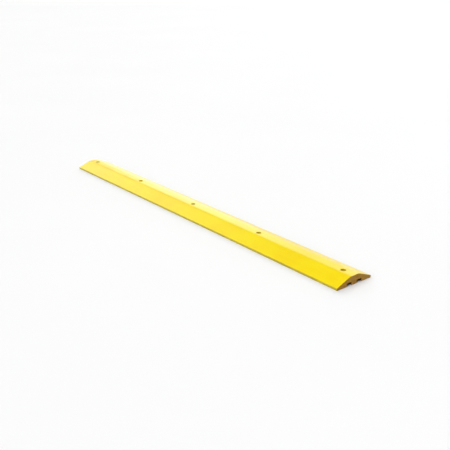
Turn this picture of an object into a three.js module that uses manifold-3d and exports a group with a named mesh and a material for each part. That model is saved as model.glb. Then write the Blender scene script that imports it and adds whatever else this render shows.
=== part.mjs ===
// A low, one-piece moulded bar that lies across a parking place or a lane: a flat crest between two ramps,
// five counterbored anchor holes along the crest, and two cable and drain channels along the underside.
// A steel washer lies on the floor of each counterbore.
//
// Millimetres, +Z up. The origin is the middle of the underside, and +X runs along the bar.

import * as THREE from 'three';
import { mergeVertices } from 'three/addons/utils/BufferGeometryUtils.js';
import Module from 'manifold-3d';

// ---- Driving dimensions ---------------------------------------------------------------------------------

const INCH = 25.4;

// The bar
const LENGTH = 108 * INCH;
const WIDTH = 10 * INCH;
const HEIGHT = 2 * INCH;
const LIP_HEIGHT = 0.5 * INCH; // the upright band along each long edge, under the ramp
const CREST_HALF_WIDTH = 0.8 * INCH; // from the middle of the flat crest to the start of its shoulder
const SHOULDER_RADIUS = 2.25 * INCH; // the round shoulder between the crest and each ramp

// The two channels, mirrored about the middle
const CHANNEL_INNER_Y = 19.5; // half the width of the foot between them
const CHANNEL_OUTER_Y = 55;
const CHANNEL_HEIGHT = 0.75 * INCH;
const CHANNEL_CORNER_RADIUS = 5;

// The anchor holes
const HOLE_COUNT = 5;
const HOLE_END_OFFSET = 3 * INCH; // from each end of the bar to the centre of the first hole
const COUNTERBORE_DIAMETER = 30;
const COUNTERBORE_DEPTH = 0.75 * INCH;
const BOLT_HOLE_DIAMETER = 0.625 * INCH;
const RIM_CHAMFER = 1.5;

// The washers, for half-inch bolts
const WASHER_OUTER_DIAMETER = 1.0625 * INCH;
const WASHER_HOLE_DIAMETER = 0.53125 * INCH;
const WASHER_THICKNESS = 0.095 * INCH;
const WASHER_GAP = 0.3; // between the washer and the floor it rests on

// Fineness and working margins
const OUTLINE_SEGMENTS = 8; // straight steps in each arc of the section
const ROUND_SEGMENTS = 48; // straight steps in each full circle
const CUT_OVERRUN = 2; // how far a cutter runs past the surface it opens
const MERGE_DISTANCE = 1e-4;

// ---- Derived sizes --------------------------------------------------------------------------------------

const SEAT_Z = HEIGHT - COUNTERBORE_DEPTH;
const HOLE_PITCH = (LENGTH - 2 * HOLE_END_OFFSET) / (HOLE_COUNT - 1);

// ---- Materials ------------------------------------------------------------------------------------------

const yellowPlastic = new THREE.MeshStandardMaterial({ color: 0xf7d117, roughness: 0.45, metalness: 0 });
const zincPlatedSteel = new THREE.MeshStandardMaterial({ color: 0xa9adb0, roughness: 0.4, metalness: 1 });

// ---- Cutting --------------------------------------------------------------------------------------------

const wasm = await Module();
wasm.setup();

// A closed geometry as a solid: shared vertices are merged, and triangles that collapse are dropped.
function solidOf(geometry) {
  geometry.deleteAttribute('normal');
  geometry.deleteAttribute('uv');
  const merged = mergeVertices(geometry, MERGE_DISTANCE);
  const corners = merged.index.array;
  const triangles = [];
  for (let i = 0; i < corners.length; i += 3) {
    const [a, b, c] = corners.slice(i, i + 3);
    if (a !== b && b !== c && c !== a) {
      triangles.push(a, b, c);
    }
  }
  return new wasm.Manifold(
    new wasm.Mesh({
      numProp: 3,
      vertProperties: merged.attributes.position.array,
      triVerts: Uint32Array.from(triangles),
    }),
  );
}

function geometryOf(solid) {
  const mesh = solid.getMesh();
  const geometry = new THREE.BufferGeometry();
  geometry.setAttribute('position', new THREE.BufferAttribute(mesh.vertProperties, 3));
  geometry.setIndex(new THREE.BufferAttribute(mesh.triVerts, 1));
  geometry.computeVertexNormals();
  return geometry;
}

// ---- The bar's cross-section ----------------------------------------------------------------------------

// The angle, up from +Y, at which the ramp leaves the shoulder. The ramp is the tangent to the shoulder
// that passes through the top of the lip.
function shoulderEndAngle() {
  const acrossToLip = WIDTH / 2 - CREST_HALF_WIDTH;
  const upToLip = LIP_HEIGHT - (HEIGHT - SHOULDER_RADIUS);
  const distance = Math.hypot(acrossToLip, upToLip);
  return Math.atan2(upToLip, acrossToLip) + Math.acos(SHOULDER_RADIUS / distance);
}

// A channel between two widths, drawn towards +Y as part of the underside.
function drawChannel(outline, from, to) {
  const roof = CHANNEL_HEIGHT;
  const radius = CHANNEL_CORNER_RADIUS;
  outline.lineTo(from, 0);
  outline.lineTo(from, roof - radius);
  outline.absarc(from + radius, roof - radius, radius, Math.PI, Math.PI / 2, true);
  outline.lineTo(to - radius, roof);
  outline.absarc(to - radius, roof - radius, radius, Math.PI / 2, 0, true);
  outline.lineTo(to, 0);
}

// The section, across (Y) and up (Z): along the underside, up the +Y lip, over the crest and down again.
function sectionOutline() {
  const edge = WIDTH / 2;
  const shoulderZ = HEIGHT - SHOULDER_RADIUS;
  const rampAngle = shoulderEndAngle();
  const outline = new THREE.Shape();
  outline.moveTo(-edge, 0);
  drawChannel(outline, -CHANNEL_OUTER_Y, -CHANNEL_INNER_Y);
  drawChannel(outline, CHANNEL_INNER_Y, CHANNEL_OUTER_Y);
  outline.lineTo(edge, 0);
  outline.lineTo(edge, LIP_HEIGHT);
  outline.absarc(CREST_HALF_WIDTH, shoulderZ, SHOULDER_RADIUS, rampAngle, Math.PI / 2, false);
  outline.absarc(-CREST_HALF_WIDTH, shoulderZ, SHOULDER_RADIUS, Math.PI / 2, Math.PI - rampAngle, false);
  outline.lineTo(-edge, LIP_HEIGHT);
  outline.closePath();
  return outline;
}

// ---- The pieces -----------------------------------------------------------------------------------------

// The section extruded along X, centred on the origin.
function makeBar() {
  const bar = new THREE.ExtrudeGeometry(sectionOutline(), {
    depth: LENGTH,
    bevelEnabled: false,
    curveSegments: OUTLINE_SEGMENTS,
  });
  const acrossUpAlong = new THREE.Matrix4().makeBasis(
    new THREE.Vector3(0, 1, 0),
    new THREE.Vector3(0, 0, 1),
    new THREE.Vector3(1, 0, 0),
  );
  bar.applyMatrix4(acrossUpAlong);
  bar.translate(-LENGTH / 2, 0, 0);
  return bar;
}

// A turned shape about the Z axis, from [radius, height] pairs.
function turned(profile) {
  const points = profile.map(([radius, z]) => new THREE.Vector2(radius, z));
  const shape = new THREE.LatheGeometry(points, ROUND_SEGMENTS);
  shape.rotateX(Math.PI / 2);
  return shape;
}

// The space of one anchor hole: the bolt hole, the counterbore and the chamfered rim.
function makeHoleCutter() {
  const boltRadius = BOLT_HOLE_DIAMETER / 2;
  const boreRadius = COUNTERBORE_DIAMETER / 2;
  return turned([
    [0, -CUT_OVERRUN],
    [boltRadius, -CUT_OVERRUN],
    [boltRadius, SEAT_Z],
    [boreRadius, SEAT_Z],
    [boreRadius, HEIGHT - RIM_CHAMFER],
    [boreRadius + RIM_CHAMFER + CUT_OVERRUN, HEIGHT + CUT_OVERRUN],
    [0, HEIGHT + CUT_OVERRUN],
  ]);
}

function makeWasher() {
  const inner = WASHER_HOLE_DIAMETER / 2;
  const outer = WASHER_OUTER_DIAMETER / 2;
  return turned([
    [inner, 0],
    [outer, 0],
    [outer, WASHER_THICKNESS],
    [inner, WASHER_THICKNESS],
    [inner, 0],
  ]);
}

function holeX(number) {
  return -LENGTH / 2 + HOLE_END_OFFSET + (number - 1) * HOLE_PITCH;
}

// ---- The assembly ---------------------------------------------------------------------------------------

const wheelStop = new THREE.Group();

let body = solidOf(makeBar());
const holeCutter = solidOf(makeHoleCutter());

for (let number = 1; number <= HOLE_COUNT; number += 1) {
  body = body.subtract(holeCutter.translate([holeX(number), 0, 0]));

  const washer = new THREE.Mesh(makeWasher(), zincPlatedSteel);
  washer.name = `seat_washer_${number}`;
  washer.position.set(holeX(number), 0, SEAT_Z + WASHER_GAP);
  wheelStop.add(washer);
}

const bumpBody = new THREE.Mesh(geometryOf(body), yellowPlastic);
bumpBody.name = 'bump_body';
wheelStop.add(bumpBody);

export default wheelStop;
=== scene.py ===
"""A yellow moulded parking wheel stop on a white studio floor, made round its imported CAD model.

The bar's CAD solid is replaced by one finely meshed moulding with rounded edges, real counterbores and a
slightly uneven skin, and each CAD washer by a stamped one. Metres throughout.
"""

import math

import bmesh
import bpy
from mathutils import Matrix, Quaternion, Vector, geometry, noise


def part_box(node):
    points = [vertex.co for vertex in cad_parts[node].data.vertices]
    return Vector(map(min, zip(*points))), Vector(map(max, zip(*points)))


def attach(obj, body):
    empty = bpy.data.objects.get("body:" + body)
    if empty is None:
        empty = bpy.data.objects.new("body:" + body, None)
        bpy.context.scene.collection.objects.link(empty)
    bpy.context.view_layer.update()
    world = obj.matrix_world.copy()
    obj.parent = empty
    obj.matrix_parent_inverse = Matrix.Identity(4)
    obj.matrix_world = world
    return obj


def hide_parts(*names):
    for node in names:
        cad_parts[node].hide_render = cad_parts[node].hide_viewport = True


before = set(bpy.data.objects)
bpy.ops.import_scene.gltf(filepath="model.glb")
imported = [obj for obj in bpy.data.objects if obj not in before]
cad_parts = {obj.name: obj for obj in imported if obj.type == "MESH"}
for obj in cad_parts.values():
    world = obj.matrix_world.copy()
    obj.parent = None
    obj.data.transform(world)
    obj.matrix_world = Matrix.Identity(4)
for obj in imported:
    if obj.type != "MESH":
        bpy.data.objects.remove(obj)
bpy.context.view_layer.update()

# ---- Sizes, in metres ----------------------------------------------------------------------------------

MM = 0.001
INCH = 0.0254

bar_low, bar_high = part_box("bump_body")
LENGTH = bar_high[0] - bar_low[0]
HALF_WIDTH = (bar_high[1] - bar_low[1]) / 2
HEIGHT = bar_high[2] - bar_low[2]
HOLE_COUNT = 5

# The section, as in the CAD model
LIP_HEIGHT = 0.5 * INCH
CREST_HALF_WIDTH = 0.8 * INCH
SHOULDER_RADIUS = 2.25 * INCH
CHANNEL_INNER_Y = 19.5 * MM
CHANNEL_OUTER_Y = 55 * MM
CHANNEL_HEIGHT = 0.75 * INCH
CHANNEL_CORNER_RADIUS = 5 * MM

# The anchor holes, as in the CAD model
BORE_RADIUS = 15 * MM
BORE_DEPTH = 0.75 * INCH
SEAT_Z = HEIGHT - BORE_DEPTH
BOLT_HOLE_RADIUS = 0.3125 * INCH
WASHER_HOLE_RADIUS = 0.265625 * INCH

# Edge rounding and draft that the CAD model leaves out
LIP_EDGE_RADIUS = 1.2 * MM
FOOT_EDGE_RADIUS = 1 * MM
END_EDGE_RADIUS = 0.8 * MM
RIM_RADIUS = 1.5 * MM  # in place of the CAD model's chamfer
SEAT_EDGE_RADIUS = 0.8 * MM
BORE_DRAFT = 0.4 * MM  # how much narrower a counterbore is at its floor than at its rim
WASHER_SOFT_EDGE = 0.5 * MM  # on top, where the punch came in
WASHER_CRISP_EDGE = 0.12 * MM

# The unevenness of the moulding: how far its surface strays, and over what length
LONG_WAVE_HEIGHT = 0.16 * MM
LONG_WAVE_LENGTH = 260 * MM
SHORT_WAVE_HEIGHT = 0.07 * MM
SHORT_WAVE_LENGTH = 45 * MM
SKIN_SINK = 0.1 * MM  # of the whole upper skin
EDGE_WAVE_WIDTH = 0.25 * MM
EDGE_WAVE_LENGTH = 120 * MM
EDGE_NOISE_Y = 9.1  # where in the noise the two edges' waves are read: at the same Y,
EDGE_NOISE_Z = 3.0  # and at this Z for one edge and at minus this Z for the other
EDGE_SHRINK = 0.25 * MM  # of each long edge, towards the middle
FOOT_DENT_DEPTH = 0.5 * MM
FOOT_DENT_LENGTH = 60 * MM
FOOT_FACE_TOP = 0.1 * MM  # what lies lower than this belongs to the faces of the feet
ACROSS_TO_ALONG = 0.4  # length of a wave across the bar, as a share of its length along the bar

# The unevenness of the sawn ends, across (Y) and up (Z)
SAW_RIPPLE_DEPTH = 0.12 * MM
SAW_RIPPLE_LENGTHS = (9 * MM, 2.5 * MM)
SAW_DISH_DEPTH = 0.35 * MM
SAW_DISH_LENGTHS = (40 * MM, 20 * MM)

# Mesh fineness
STATION_STEP = 7 * MM  # along the bar, between the hole patches
SKIN_STEP = 6 * MM  # across the ramps and feet
CAP_STEP = 5 * MM  # on the sawn ends
PATCH_STEPS = 16  # along each side of the patch around a hole
TOP_PATCH_HALF = 20 * MM  # half the length of every patch, and half the width of those in the crest
FOOT_PATCH_HALF = 16 * MM  # half the width of those in the middle foot
PATCH_SHARES = (0.3, 0.6, 0.85)  # where the rings between a patch's rim and its hole lie
ROUND_STEPS = 4  # in a small rounded edge
CHANNEL_CORNER_STEPS = 6
SHOULDER_STEPS = 10
WALL_STEPS = 5  # down the counterbore, and down the bolt hole
WASHER_STEPS = 96  # round a washer
KEEP_INSIDE = 1  # tells the triangulation to leave out what lies outside the outline
SAME_POINT = 1e-7  # points closer than this are one to the triangulation
SAME_HEIGHT = 1e-6  # heights closer than this are one


# ---- Curves and outlines -------------------------------------------------------------------------------

def steps_between(start, end, count):
    """Evenly spaced values after start, up to and including end."""
    return [start + (end - start) * i / count for i in range(1, count + 1)]


def straight(start, end, step):
    """Points after start along a straight stretch, up to and including end."""
    count = max(1, round((end - start).length / step))
    return [start.lerp(end, i / count) for i in range(1, count + 1)]


def rounded_corner(before, corner, after, radius, count):
    """Points of the arc that rounds a corner, both tangent points included."""
    to_before = (before - corner).normalized()
    to_after = (after - corner).normalized()
    half_angle = to_before.angle(to_after) / 2
    bisector = (to_before + to_after).normalized()
    centre = corner + bisector * (radius / math.sin(half_angle))
    start = corner + to_before * (radius / math.tan(half_angle)) - centre
    end = corner + to_after * (radius / math.tan(half_angle)) - centre
    turn = math.atan2(start.x * end.y - start.y * end.x, start.dot(end))
    points = []
    for i in range(count + 1):
        angle = turn * i / count
        cosine, sine = math.cos(angle), math.sin(angle)
        turned = Vector((start.x * cosine - start.y * sine, start.x * sine + start.y * cosine))
        points.append(centre + turned)
    return points


def shoulder_corner():
    """Where the crest's line and the ramp's line would meet, if the shoulder weren't round."""
    across = HALF_WIDTH - CREST_HALF_WIDTH
    up = LIP_HEIGHT - (HEIGHT - SHOULDER_RADIUS)
    tangent_angle = math.atan2(up, across) + math.acos(SHOULDER_RADIUS / math.hypot(across, up))
    half_turn = (math.pi / 2 - tangent_angle) / 2
    return Vector((CREST_HALF_WIDTH + SHOULDER_RADIUS * math.tan(half_turn), HEIGHT))


def half_section():
    """The section's +Y side, from the middle of the underside, round the lip, to the crest's middle."""
    foot_middle = Vector((0, 0))
    crest_middle = Vector((0, HEIGHT))
    corners = [
        (Vector((CHANNEL_INNER_Y, 0)), FOOT_EDGE_RADIUS, ROUND_STEPS),
        (Vector((CHANNEL_INNER_Y, CHANNEL_HEIGHT)), CHANNEL_CORNER_RADIUS, CHANNEL_CORNER_STEPS),
        (Vector((CHANNEL_OUTER_Y, CHANNEL_HEIGHT)), CHANNEL_CORNER_RADIUS, CHANNEL_CORNER_STEPS),
        (Vector((CHANNEL_OUTER_Y, 0)), FOOT_EDGE_RADIUS, ROUND_STEPS),
        (Vector((HALF_WIDTH, 0)), FOOT_EDGE_RADIUS, ROUND_STEPS),
        (Vector((HALF_WIDTH, LIP_HEIGHT)), LIP_EDGE_RADIUS, ROUND_STEPS),
        (shoulder_corner(), SHOULDER_RADIUS, SHOULDER_STEPS),
    ]
    path = [foot_middle] + [corner for corner, radius, count in corners] + [crest_middle]
    points = [foot_middle] + [Vector((y, 0)) for y in steps_between(0, FOOT_PATCH_HALF, PATCH_STEPS // 2)]
    for i, (corner, radius, count) in enumerate(corners):
        arc = rounded_corner(path[i], corner, path[i + 2], radius, count)
        points += straight(points[-1], arc[0], SKIN_STEP)
        points += arc[1:]
    patch_edge = Vector((TOP_PATCH_HALF, HEIGHT))
    points += straight(points[-1], patch_edge, SKIN_STEP)
    points += [Vector((y, HEIGHT)) for y in steps_between(TOP_PATCH_HALF, 0, PATCH_STEPS // 2)]
    return points


def full_section():
    """The closed section, anticlockwise as seen from +X, starting at the middle of the underside."""
    right = half_section()
    left = [Vector((-p.x, p.y)) for p in reversed(right[1:-1])]
    return right + left


def inset(outline, distance):
    """The outline moved inwards by a small distance."""
    moved = []
    for i, point in enumerate(outline):
        before, after = outline[i - 1], outline[(i + 1) % len(outline)]
        first = (point - before).normalized()
        second = (after - point).normalized()
        inward = (Vector((-first.y, first.x)) + Vector((-second.y, second.x))).normalized()
        moved.append(point + inward * distance)
    return moved


# ---- The unevenness of a thick moulding ----------------------------------------------------------------

def wander(x, y, wavelength, seed):
    """Smooth noise between about -1 and 1, longer along the bar than across it."""
    return noise.noise(Vector((x / wavelength, y / (wavelength * ACROSS_TO_ALONG), seed)))


def edge_wander(x, y):
    """Smooth noise along the long edge that a point is nearer to. The two edges wander differently."""
    return noise.noise(Vector((x / EDGE_WAVE_LENGTH, EDGE_NOISE_Y, math.copysign(EDGE_NOISE_Z, y))))


def uneven(point):
    """Where a point of the ideal shape lies on the real one.

    The upper skin waves and sinks a little, the long edges shrink inwards, and the feet are dented.
    """
    x, y, z = point
    skin_share = min(1, max(0, z / LIP_HEIGHT))
    long_wave = LONG_WAVE_HEIGHT * wander(x, y, LONG_WAVE_LENGTH, seed=1.7)
    short_wave = SHORT_WAVE_HEIGHT * wander(x, y, SHORT_WAVE_LENGTH, seed=5.3)
    edge_wave = EDGE_WAVE_WIDTH * edge_wander(x, y)
    edge_share = max(0, (abs(y) - CHANNEL_OUTER_Y) / (HALF_WIDTH - CHANNEL_OUTER_Y))
    dent = 0
    if z < FOOT_FACE_TOP:
        dent = FOOT_DENT_DEPTH * max(0, wander(x, y, FOOT_DENT_LENGTH, seed=8.8))
    return Vector((
        x,
        y - math.copysign(edge_share, y) * (EDGE_SHRINK + edge_wave),
        z + skin_share * (long_wave + short_wave - SKIN_SINK) + dent,
    ))


# ---- The moulding --------------------------------------------------------------------------------------

SKIN, SAWN, UNDERSIDE, BORED = range(4)  # material slots of the moulding


def hole_centres():
    """X of each anchor hole, from the washers of the CAD model."""
    boxes = [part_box(f"seat_washer_{number}") for number in range(1, HOLE_COUNT + 1)]
    return [(low[0] + high[0]) / 2 for low, high in boxes]


def stations(holes):
    """X of each ring between the rounded ends, and the number of the first ring of each hole's patch."""
    xs = [-LENGTH / 2 + END_EDGE_RADIUS]
    patch_starts = []
    for hole in holes:
        start, end = hole - TOP_PATCH_HALF, hole + TOP_PATCH_HALF
        xs += steps_between(xs[-1], start, round((start - xs[-1]) / STATION_STEP))
        patch_starts.append(len(xs) - 1)
        xs += steps_between(start, end, PATCH_STEPS)
    end = LENGTH / 2 - END_EDGE_RADIUS
    xs += steps_between(xs[-1], end, round((end - xs[-1]) / STATION_STEP))
    return xs, patch_starts


def hole_profile():
    """(radius, z) down an anchor hole, from the rounded rim to the rounded mouth in the underside."""
    seat_radius = BORE_RADIUS - BORE_DRAFT
    wall_top = HEIGHT - RIM_RADIUS
    wall_bottom = SEAT_Z + SEAT_EDGE_RADIUS
    profile = []
    for angle in steps_between(0, math.pi / 2, ROUND_STEPS):
        profile.append((
            BORE_RADIUS + RIM_RADIUS * (1 - math.sin(angle)),
            wall_top + RIM_RADIUS * math.cos(angle),
        ))
    for share in steps_between(0, 1, WALL_STEPS):
        profile.append((
            BORE_RADIUS - BORE_DRAFT * share,
            wall_top + (wall_bottom - wall_top) * share,
        ))
    for angle in steps_between(0, math.pi / 2, ROUND_STEPS):
        profile.append((
            seat_radius - SEAT_EDGE_RADIUS * (1 - math.cos(angle)),
            SEAT_Z + SEAT_EDGE_RADIUS * (1 - math.sin(angle)),
        ))
    profile.append((BOLT_HOLE_RADIUS + SEAT_EDGE_RADIUS, SEAT_Z))
    for angle in steps_between(0, math.pi / 2, ROUND_STEPS):
        profile.append((
            BOLT_HOLE_RADIUS + SEAT_EDGE_RADIUS * (1 - math.sin(angle)),
            SEAT_Z - SEAT_EDGE_RADIUS * (1 - math.cos(angle)),
        ))
    for z in steps_between(SEAT_Z - SEAT_EDGE_RADIUS, FOOT_EDGE_RADIUS, WALL_STEPS):
        profile.append((BOLT_HOLE_RADIUS, z))
    for angle in steps_between(0, math.pi / 2, ROUND_STEPS):
        profile.append((
            BOLT_HOLE_RADIUS + FOOT_EDGE_RADIUS * (1 - math.cos(angle)),
            FOOT_EDGE_RADIUS * (1 - math.sin(angle)),
        ))
    return profile


def patch_rim(first, middle):
    """(station, outline) numbers of the vertices round a patch, from one corner, in one direction."""
    n = PATCH_STEPS
    around = [(i, 0) for i in range(n)]
    around += [(n, i) for i in range(n)]
    around += [(n - i, n) for i in range(n)]
    around += [(0, n - i) for i in range(n)]
    return [(first + along, middle - n // 2 + across) for along, across in around]


def join_rings(mesh, ring, next_ring, material):
    """A band of faces between two rings with the same number of vertices."""
    for i in range(len(ring)):
        j = (i + 1) % len(ring)
        face = mesh.faces.new((ring[i], ring[j], next_ring[j], next_ring[i]))
        face.material_index = material


def ring_turn(rim, centre_x):
    """The signed angle from one vertex of a patch's rim to the next, if they were evenly spread."""
    a, b = rim[0].co, rim[PATCH_STEPS].co
    crossed = (a.x - centre_x) * b.y - a.y * (b.x - centre_x)
    return math.copysign(2 * math.pi / len(rim), crossed)


def ring_at(mesh, rim, centre_x, radius, z, share):
    """A ring part way between a patch's rim (share 0) and a circle (share 1)."""
    start_angle = math.atan2(rim[0].co.y, rim[0].co.x - centre_x)
    turn = ring_turn(rim, centre_x)
    ring = []
    for i, vertex in enumerate(rim):
        angle = start_angle + turn * i
        on_circle = Vector((centre_x + radius * math.cos(angle), radius * math.sin(angle), z))
        on_rim = Vector((vertex.co.x, vertex.co.y, z))
        ring.append(mesh.verts.new(on_rim.lerp(on_circle, share)))
    return ring


def add_hole(mesh, top_rim, foot_rim, centre_x):
    """An anchor hole between a patch of the crest and a patch of the middle foot."""
    profile = hole_profile()
    mouth_radius = BORE_RADIUS + RIM_RADIUS
    foot_radius = profile[-1][0]
    rings = [top_rim]
    materials = []  # of the band that follows each ring
    for share in PATCH_SHARES + (1,):
        rings.append(ring_at(mesh, top_rim, centre_x, mouth_radius, HEIGHT, share))
        materials.append(SKIN)
    for step, (radius, z) in enumerate(profile):
        rings.append(ring_at(mesh, top_rim, centre_x, radius, z, 1))
        materials.append(SKIN if step < ROUND_STEPS else BORED)
    for share in reversed(PATCH_SHARES):
        rings.append(ring_at(mesh, foot_rim, centre_x, foot_radius, 0, share))
        materials.append(UNDERSIDE)
    rings.append(foot_rim)
    materials.append(UNDERSIDE)
    for ring, next_ring, material in zip(rings, rings[1:], materials):
        join_rings(mesh, ring, next_ring, material)


def encloses(outline, point):
    """True if a closed outline goes round a point."""
    inside = False
    for i, end in enumerate(outline):
        start = outline[i - 1]
        if (start.y > point.y) != (end.y > point.y):
            crossing = start.x + (point.y - start.y) * (end.x - start.x) / (end.y - start.y)
            if point.x < crossing:
                inside = not inside
    return inside


def points_inside(outline):
    """Points spread evenly inside an outline of the bar's end, in staggered rows."""
    across_count = int(HALF_WIDTH / CAP_STEP)
    up_count = int(HEIGHT / CAP_STEP)
    points = []
    for row in range(up_count + 1):
        for column in range(-across_count, across_count + 1):
            point = Vector(((column + 0.5 * (row % 2)) * CAP_STEP, (row + 0.5) * CAP_STEP))
            if encloses(outline, point):
                points.append(point)
    return points


def sawn_relief(point, x):
    """How far a point of a sawn end at x stands out: the saw leaves a ripple in a shallow dish."""
    ripple_across, ripple_up = SAW_RIPPLE_LENGTHS
    dish_across, dish_up = SAW_DISH_LENGTHS
    ripple = noise.noise(Vector((point.x / ripple_across, point.y / ripple_up, x)))
    dish = 0.5 + noise.noise(Vector((point.x / dish_across, point.y / dish_up, x)))
    return SAW_RIPPLE_DEPTH * ripple - SAW_DISH_DEPTH * dish


def add_sawn_end(mesh, ring, x, outward):
    """A triangulated end across the last ring. Its border keeps the ring's own vertices."""
    border = [vertex.co.yz for vertex in ring]
    inside = points_inside(inset(border, CAP_STEP / 2))
    count = len(border)
    border_edges = [(i, (i + 1) % count) for i in range(count)]
    found = geometry.delaunay_2d_cdt(border + inside, border_edges, [], KEEP_INSIDE, SAME_POINT)
    points, _, triangles, sources_of_points = found[:4]
    vertices = []
    for point, sources in zip(points, sources_of_points):
        on_border = [source for source in sources if source < count]
        if on_border:
            vertices.append(ring[on_border[0]])
        else:
            vertices.append(mesh.verts.new((x + outward * sawn_relief(point, x), point.x, point.y)))
    for corners in triangles:
        face = mesh.faces.new([vertices[i] for i in corners])
        face.material_index = SAWN


def skin_material(start, end):
    """The material between two points of the section: the underside and the channels have their own."""
    near_middle = abs(start.x) < CHANNEL_OUTER_Y + FOOT_EDGE_RADIUS
    in_channel = near_middle and start.y < CHANNEL_HEIGHT + SAME_HEIGHT
    flat_below = start.y < SAME_HEIGHT and end.y < SAME_HEIGHT
    return UNDERSIDE if in_channel or flat_below else SKIN


def patch_cells(first, middle, count):
    """(station, outline) numbers of the skin's faces that a hole's patch replaces."""
    half = PATCH_STEPS // 2
    steps = range(PATCH_STEPS)
    return {(first + i, (middle - half + j) % count) for i in steps for j in steps}


def add_skin(mesh, outline, xs, patch_starts, holes):
    """The skin between rings along the bar, with a hole in each patch. Returns the first and last rings."""
    count = len(outline)
    crest = outline.index(min(outline, key=lambda p: (abs(p.x), -p.y)))
    rings = [[mesh.verts.new((x, p.x, p.y)) for p in outline] for x in xs]
    cut = set()
    for first in patch_starts:
        cut |= patch_cells(first, crest, count)
        cut |= patch_cells(first, 0, count)
    for i in range(len(xs) - 1):
        for j in range(count):
            if (i, j) in cut:
                continue
            k = (j + 1) % count
            face = mesh.faces.new((rings[i][j], rings[i][k], rings[i + 1][k], rings[i + 1][j]))
            face.material_index = skin_material(outline[j], outline[k])
    for first, centre_x in zip(patch_starts, holes):
        top_rim = [rings[i][j] for i, j in patch_rim(first, crest)]
        # The underside runs the other way round the section, so its rim is read backwards to match.
        foot_rim = [rings[i][-j % count] for i, j in patch_rim(first, 0)]
        add_hole(mesh, top_rim, foot_rim, centre_x)
    loose = [vertex for vertex in mesh.verts if not vertex.link_faces]
    bmesh.ops.delete(mesh, geom=loose, context="VERTS")
    return rings[0], rings[-1]


def round_end(mesh, ring, outline, outward):
    """Carries the skin round the edge of an end, and closes the end."""
    edge_start = LENGTH / 2 - END_EDGE_RADIUS
    for angle in steps_between(0, math.pi / 2, ROUND_STEPS):
        x = outward * (edge_start + END_EDGE_RADIUS * math.sin(angle))
        points = inset(outline, END_EDGE_RADIUS * (1 - math.cos(angle)))
        next_ring = [mesh.verts.new((x, p.x, p.y)) for p in points]
        join_rings(mesh, ring, next_ring, SAWN)
        ring = next_ring
    add_sawn_end(mesh, ring, outward * LENGTH / 2, outward)


def make_moulding():
    """The whole bar as one closed mesh."""
    mesh = bmesh.new()
    outline = full_section()
    holes = hole_centres()
    xs, patch_starts = stations(holes)
    first_ring, last_ring = add_skin(mesh, outline, xs, patch_starts, holes)
    round_end(mesh, first_ring, outline, -1)
    round_end(mesh, last_ring, outline, 1)
    for vertex in mesh.verts:
        vertex.co = uneven(vertex.co)
    bmesh.ops.recalc_face_normals(mesh, faces=mesh.faces)
    materials = (moulded_skin(), sawn_plastic(), rough_plastic(), bored_plastic())  # in the slots' order
    return piece_from(mesh, "bump_moulding", materials)


def piece_from(mesh, name, materials):
    """A smooth-shaded object in the scene, made from a mesh in progress."""
    data = bpy.data.meshes.new(name)
    for face in mesh.faces:
        face.smooth = True
    mesh.to_mesh(data)
    mesh.free()
    for material in materials:
        data.materials.append(material)
    piece = bpy.data.objects.new(name, data)
    bpy.context.scene.collection.objects.link(piece)
    return piece


# ---- The washers ---------------------------------------------------------------------------------------

def make_washer(number, material):
    """A stamped washer: the punch rounds its upper edges, and leaves the lower ones crisp."""
    low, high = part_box(f"seat_washer_{number}")
    outer = (high[0] - low[0]) / 2
    inner = WASHER_HOLE_RADIUS
    bottom, top = low[2], high[2]
    centre_x = (low[0] + high[0]) / 2
    soft, crisp = WASHER_SOFT_EDGE, WASHER_CRISP_EDGE
    quarter_turn = [0] + steps_between(0, math.pi / 2, ROUND_STEPS)
    profile = [(inner + crisp, bottom), (outer - crisp, bottom), (outer, bottom + crisp)]
    for angle in quarter_turn:
        profile.append((outer - soft * (1 - math.cos(angle)), top - soft * (1 - math.sin(angle))))
    for angle in quarter_turn:
        profile.append((inner + soft * (1 - math.sin(angle)), top - soft * (1 - math.cos(angle))))
    profile.append((inner, bottom + crisp))
    angles = [2 * math.pi * i / WASHER_STEPS for i in range(WASHER_STEPS)]
    mesh = bmesh.new()
    rings = []
    for radius, z in profile:
        circle = [(centre_x + radius * math.cos(angle), radius * math.sin(angle), z) for angle in angles]
        rings.append([mesh.verts.new(place) for place in circle])
    for i, ring in enumerate(rings):
        join_rings(mesh, ring, rings[(i + 1) % len(rings)], 0)
    bmesh.ops.recalc_face_normals(mesh, faces=mesh.faces)
    return piece_from(mesh, f"stamped_washer_{number}", (material,))


# ---- Materials -----------------------------------------------------------------------------------------

class Nodes:
    """A node tree, written as calls that return their output sockets."""

    def __init__(self, tree):
        self.tree = tree

    def add(self, kind, **settings):
        """A new node, with its settings given by name."""
        made = self.tree.nodes.new(kind)
        for name, value in settings.items():
            setattr(made, name, value)
        return made

    def feed(self, socket, value):
        """Links a socket to another node's output, or sets the socket's own value."""
        if isinstance(value, bpy.types.NodeSocket):
            self.tree.links.new(value, socket)
        else:
            socket.default_value = value

    def feed_all(self, made, *values):
        """Feeds a node's sockets in order, and returns its first output."""
        for socket, value in zip(made.inputs, values):
            self.feed(socket, value)
        return made.outputs[0]

    def math(self, operation, a, b):
        """One step of arithmetic on two values."""
        return self.feed_all(self.add("ShaderNodeMath", operation=operation), a, b)


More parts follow.
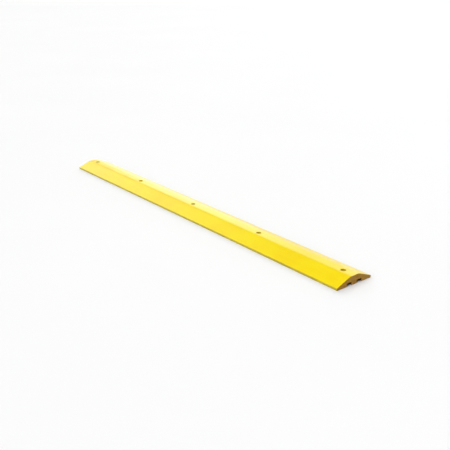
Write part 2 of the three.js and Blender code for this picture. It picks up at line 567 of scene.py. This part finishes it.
class Look(Nodes):
    """A material's node tree."""

    def __init__(self, name):
        self.material = bpy.data.materials.new(name)
        self.material.use_nodes = True
        super().__init__(self.material.node_tree)
        self.shader = self.tree.nodes["Principled BSDF"]
        self.place = self.add("ShaderNodeTexCoord").outputs["Object"]

    def height(self):
        """Z, in the object's own coordinates."""
        made = self.add("ShaderNodeSeparateXYZ")
        self.feed(made.inputs[0], self.place)
        return made.outputs["Z"]

    def stretched(self, scale):
        """Object coordinates, multiplied along each axis."""
        return self.feed_all(self.add("ShaderNodeVectorMath", operation="MULTIPLY"), self.place, scale)

    def noise(self, scale, detail=2, roughness=0.5, vector=None):
        """Cloudy noise. Its scale is in waves to the metre, or to one unit of the vector given."""
        made = self.add("ShaderNodeTexNoise")
        self.feed(made.inputs["Vector"], self.place if vector is None else vector)
        self.feed(made.inputs["Scale"], scale)
        self.feed(made.inputs["Detail"], detail)
        self.feed(made.inputs["Roughness"], roughness)
        return made.outputs["Fac"]

    def cells(self, scale):
        """Distance to the nearest of many scattered points."""
        made = self.add("ShaderNodeTexVoronoi")
        self.feed(made.inputs["Vector"], self.place)
        self.feed(made.inputs["Scale"], scale)
        return made.outputs["Distance"]

    def spread(self, value, low, high, to_low=0, to_high=1):
        """A value mapped from one range to another, and held inside it."""
        return self.feed_all(self.add("ShaderNodeMapRange"), value, low, high, to_low, to_high)

    def mix(self, share, a, b):
        """Colour a where the share is 0, and colour b where it is 1."""
        made = self.add("ShaderNodeMix", data_type="RGBA")
        self.feed(made.inputs["Factor"], share)
        self.feed(made.inputs["A"], a)
        self.feed(made.inputs["B"], b)
        return made.outputs["Result"]

    def bump(self, height, distance, under=None):
        """A relief of up to the given distance, laid over another one if given."""
        made = self.add("ShaderNodeBump")
        self.feed(made.inputs["Height"], height)
        self.feed(made.inputs["Distance"], distance)
        self.feed(made.inputs["Strength"], 1)
        if under is not None:
            self.feed(made.inputs["Normal"], under)
        return made.outputs["Normal"]

    def surface(self, **inputs):
        """The finished material, with the shader's inputs given by name."""
        for name, value in inputs.items():
            self.feed(self.shader.inputs[name.replace("_", " ").title()], value)
        return self.material


# Linear red, green and blue, and alpha
YELLOW = (0.93, 0.745, 0.003, 1)
DEEP_YELLOW = (0.92, 0.685, 0.002, 1)
PALE_YELLOW = (0.95, 0.78, 0.012, 1)
LIP_PAINTED_SHADE = (0.36, 0.285, 0.020, 1)
FLECK = (0.66, 0.49, 0.01, 1)
SAWN_SHADED_YELLOW = (0.50, 0.26, 0.008, 1)
SAWN_SHADED_BROWN = (0.38, 0.18, 0.006, 1)
SHADED_CORE_BROWN = (0.26, 0.12, 0.015, 1)
BORED_SHADED_YELLOW = (0.64, 0.49, 0.008, 1)
BORED_DIRT_AND_SHADE = (0.50, 0.34, 0.010, 1)
DUST = (0.45, 0.34, 0.16, 1)
COOL_ZINC = (0.60, 0.61, 0.63, 1)
WARM_ZINC = (0.70, 0.68, 0.60, 1)
FLOOR_WHITE = (0.88, 0.88, 0.88, 1)
FLOOR_SHADE = (0.87, 0.87, 0.87, 1)


def moulded_skin():
    """The glossy skin: cloudy pigment, flow streaks, a few flecks, painted shade on the lip and fine orange
    peel.
    """
    look = Look("moulded_skin")
    clouds = look.noise(scale=5, detail=4, roughness=0.55)
    colour = look.mix(look.spread(clouds, 0.35, 0.65), DEEP_YELLOW, YELLOW)

    streaks = look.noise(scale=60, detail=3, roughness=0.6, vector=look.stretched((0.05, 1, 1)))
    colour = look.mix(look.spread(streaks, 0.5, 0.75, to_high=0.5), colour, PALE_YELLOW)

    flecks = look.spread(look.cells(scale=130), 0.03, 0.05, to_low=1, to_high=0)
    rare = look.spread(look.noise(scale=21), 0.64, 0.70)
    colour = look.mix(look.math("MULTIPLY", flecks, rare), colour, FLECK)

    # Painted shade on the lip: from its foot to just under its top it is darkened, in patches, towards a
    # shaded yellow.
    low = look.spread(look.height(), 0.85 * LIP_HEIGHT, 1.1 * LIP_HEIGHT, to_low=0.9, to_high=0)
    patchy_lip_shade = look.spread(look.noise(scale=30, detail=4, roughness=0.6), 0.2, 0.6, to_low=0.6)
    colour = look.mix(look.math("MULTIPLY", low, patchy_lip_shade), colour, LIP_PAINTED_SHADE)

    smears = look.noise(scale=14, detail=4, roughness=0.6)
    peel = look.bump(look.noise(scale=420), 0.05 * MM)
    return look.surface(
        base_color=colour,
        roughness=look.spread(smears, 0.3, 0.7, to_low=0.28, to_high=0.34),
        normal=look.bump(look.noise(scale=1500, roughness=0.6), 0.015 * MM, under=peel),
    )


def sawn_plastic():
    """The sawn ends: dull, browner, and darker partly as painted shade, with kerf lines and small pores."""
    look = Look("sawn_plastic")
    kerf = look.noise(scale=500, vector=look.stretched((1, 0.04, 1)))
    pores = look.spread(look.cells(scale=420), 0, 0.25)
    clouds = look.noise(scale=45, detail=4, roughness=0.6)
    lines = look.bump(kerf, 0.3 * MM)
    # Painted shade, in part: the ends' colours are a browner plastic made darker still.
    return look.surface(
        base_color=look.mix(look.spread(clouds, 0.35, 0.7), SAWN_SHADED_YELLOW, SAWN_SHADED_BROWN),
        roughness=look.spread(kerf, 0.3, 0.7, to_low=0.6, to_high=0.75),
        normal=look.bump(pores, 0.25 * MM, under=lines),
    )


def rough_plastic():
    """The underside and the channels: a dark brown, matt, pitted skin with some dust on it; the dark brown
    is partly painted shade in the channels.
    """
    look = Look("rough_plastic")
    dusty = look.spread(look.noise(scale=18, detail=5, roughness=0.65), 0.48, 0.75, to_high=0.5)
    pits = look.spread(look.cells(scale=260), 0, 0.3)
    coarse = look.bump(look.noise(scale=90, detail=4, roughness=0.6), 0.4 * MM)
    # Painted shade, in part: the dark brown deepens the shade inside the channels.
    return look.surface(
        base_color=look.mix(dusty, SHADED_CORE_BROWN, DUST),
        roughness=look.spread(dusty, 0, 0.5, to_low=0.5, to_high=0.7),
        normal=look.bump(pits, 0.2 * MM, under=coarse),
    )


def bored_plastic():
    """The walls of the anchor holes: duller and darker than the skin, partly as painted shade in the holes,
    ringed by the tool, with a little dirt.
    """
    look = Look("bored_plastic")
    rings = look.noise(scale=700, vector=look.stretched((0.05, 0.05, 1)))
    dirt_and_shade = look.spread(look.noise(scale=120, detail=4, roughness=0.6), 0.45, 0.7)
    # Painted shade, in part: both wall colours are darker than the skin, deepening the shade down the
    # holes.
    return look.surface(
        base_color=look.mix(dirt_and_shade, BORED_SHADED_YELLOW, BORED_DIRT_AND_SHADE),
        roughness=look.spread(rings, 0.3, 0.7, to_low=0.4, to_high=0.55),
        normal=look.bump(rings, 0.15 * MM),
    )


def zinc_plate():
    """Bright zinc plate with a faint warm and cool cloudiness."""
    look = Look("zinc_plate")
    clouds = look.noise(scale=160, detail=3, roughness=0.6)
    smears = look.noise(scale=900, detail=3, roughness=0.6)
    return look.surface(
        base_color=look.mix(look.spread(clouds, 0.35, 0.65), COOL_ZINC, WARM_ZINC),
        metallic=1,
        roughness=look.spread(smears, 0.3, 0.7, to_low=0.25, to_high=0.45),
        normal=look.bump(look.noise(scale=1800, roughness=0.6), 0.05 * MM),
    )


def studio_floor():
    """Matt white paper with a faint cloudiness."""
    look = Look("studio_floor")
    clouds = look.noise(scale=0.6)
    tone = look.mix(look.spread(clouds, 0.3, 0.7), FLOOR_SHADE, FLOOR_WHITE)
    return look.surface(base_color=tone, roughness=0.9)


# ---- The studio ----------------------------------------------------------------------------------------

CAMERA_PLACE = Vector((3.2669, -2.3358, 1.4446))
CAMERA_AZIMUTH = math.radians(51.48)
CAMERA_ELEVATION = math.radians(21.02)
CAMERA_ROLL = math.radians(0.10)
CAMERA_LENS_MM = 52.08
CAMERA_SENSOR_MM = 36
FLOOR_HALF_SIZE = 60
FLOOR_DROP = 0.2 * MM  # keeps the floor from lying in the same plane as the feet

# The studio's soft lights: azimuth from +X, elevation and half width in degrees, and strength.
SOFT_LIGHTS = [
    (110, 24, 20, 8.8),  # behind the bar, which throws its shadow forwards
    (270, 24, 20, 6.9),  # low in front, on the near ramp
    (0, 70, 26, 3.0),  # two large soft boxes overhead
    (300, 68, 28, 2.5),
    (225, 42, 24, 2.0),  # in front of the far end
    (142, 12, 16, 3.2),  # a low backdrop, mirrored in the crest
    (176, 28, 20, 2.0),  # beyond the far end, mirrored in the near ramp
    (0, -90, 90, 0.8),  # from below, which the floor blocks
]
BACKDROP_WHITE = 0.98  # what the camera sees past the floor, close to the white of the floor itself


def look_from(azimuth, elevation):
    """Unit vector from what the camera looks at to the camera."""
    flat = math.cos(elevation)
    return Vector((math.sin(azimuth) * flat, -math.cos(azimuth) * flat, math.sin(elevation)))


def make_camera():
    """The camera, standing where the bar is seen from above its +X end."""
    data = bpy.data.cameras.new("camera")
    data.sensor_width = CAMERA_SENSOR_MM
    data.lens = CAMERA_LENS_MM
    data.clip_end = 4 * FLOOR_HALF_SIZE
    camera = bpy.data.objects.new("camera", data)
    camera.location = CAMERA_PLACE
    forwards = -look_from(CAMERA_AZIMUTH, CAMERA_ELEVATION)
    upright = forwards.to_track_quat("-Z", "Y")
    roll = Quaternion((0, 0, 1), CAMERA_ROLL)
    camera.rotation_euler = (upright @ roll).to_euler()
    bpy.context.scene.collection.objects.link(camera)
    bpy.context.scene.camera = camera


def make_floor():
    """A large square of pale floor, just under the bar's feet."""
    size = FLOOR_HALF_SIZE
    data = bpy.data.meshes.new("floor")
    corners = [(-size, -size, 0), (size, -size, 0), (size, size, 0), (-size, size, 0)]
    data.from_pydata(corners, [], [(0, 1, 2, 3)])
    data.materials.append(studio_floor())
    floor = bpy.data.objects.new("floor", data)
    floor.location.z = -FLOOR_DROP
    bpy.context.scene.collection.objects.link(floor)


class Sky(Nodes):
    """The world's node tree."""

    def __init__(self):
        world = bpy.data.worlds.new("studio")
        world.use_nodes = True
        bpy.context.scene.world = world
        super().__init__(world.node_tree)
        self.tree.nodes.clear()
        self.direction = self.add("ShaderNodeTexCoord").outputs["Generated"]

    def soft_light(self, azimuth, elevation, half_width, strength):
        """A round glow that is brightest in the middle and fades out smoothly at its rim."""
        flat = math.cos(elevation)
        middle = Vector((math.cos(azimuth) * flat, math.sin(azimuth) * flat, math.sin(elevation)))
        towards = self.add("ShaderNodeVectorMath", operation="DOT_PRODUCT")
        self.feed_all(towards, self.direction, middle)
        glow = self.add("ShaderNodeMapRange", interpolation_type="SMOOTHSTEP")
        return self.feed_all(glow, towards.outputs["Value"], math.cos(half_width), 1, 0, strength)

    def total(self, values):
        """The sum of several outputs."""
        result = values[0]
        for value in values[1:]:
            result = self.math("ADD", result, value)
        return result

    def background(self, strength):
        """White light of the given strength."""
        return self.feed_all(self.add("ShaderNodeBackground"), (1, 1, 1, 1), strength)


def make_surroundings():
    """Soft lights round the bar, and plain white where the camera looks past the floor."""
    sky = Sky()
    glows = []
    for azimuth, elevation, half_width, strength in SOFT_LIGHTS:
        glows.append(sky.soft_light(*map(math.radians, (azimuth, elevation, half_width)), strength))
    lighting = sky.background(sky.total(glows))
    backdrop = sky.background(BACKDROP_WHITE)
    seen_by_camera = sky.add("ShaderNodeLightPath").outputs["Is Camera Ray"]
    surroundings = sky.feed_all(sky.add("ShaderNodeMixShader"), seen_by_camera, lighting, backdrop)
    sky.feed(sky.add("ShaderNodeOutputWorld").inputs["Surface"], surroundings)


# ---- The scene -----------------------------------------------------------------------------------------

make_camera()
make_floor()
make_surroundings()
bpy.context.scene.view_settings.view_transform = "Standard"

moulding = make_moulding()
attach(moulding, "root")
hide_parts("bump_body")

zinc = zinc_plate()
for number in range(1, HOLE_COUNT + 1):
    washer = make_washer(number, zinc)
    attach(washer, "root")
    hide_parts(f"seat_washer_{number}")
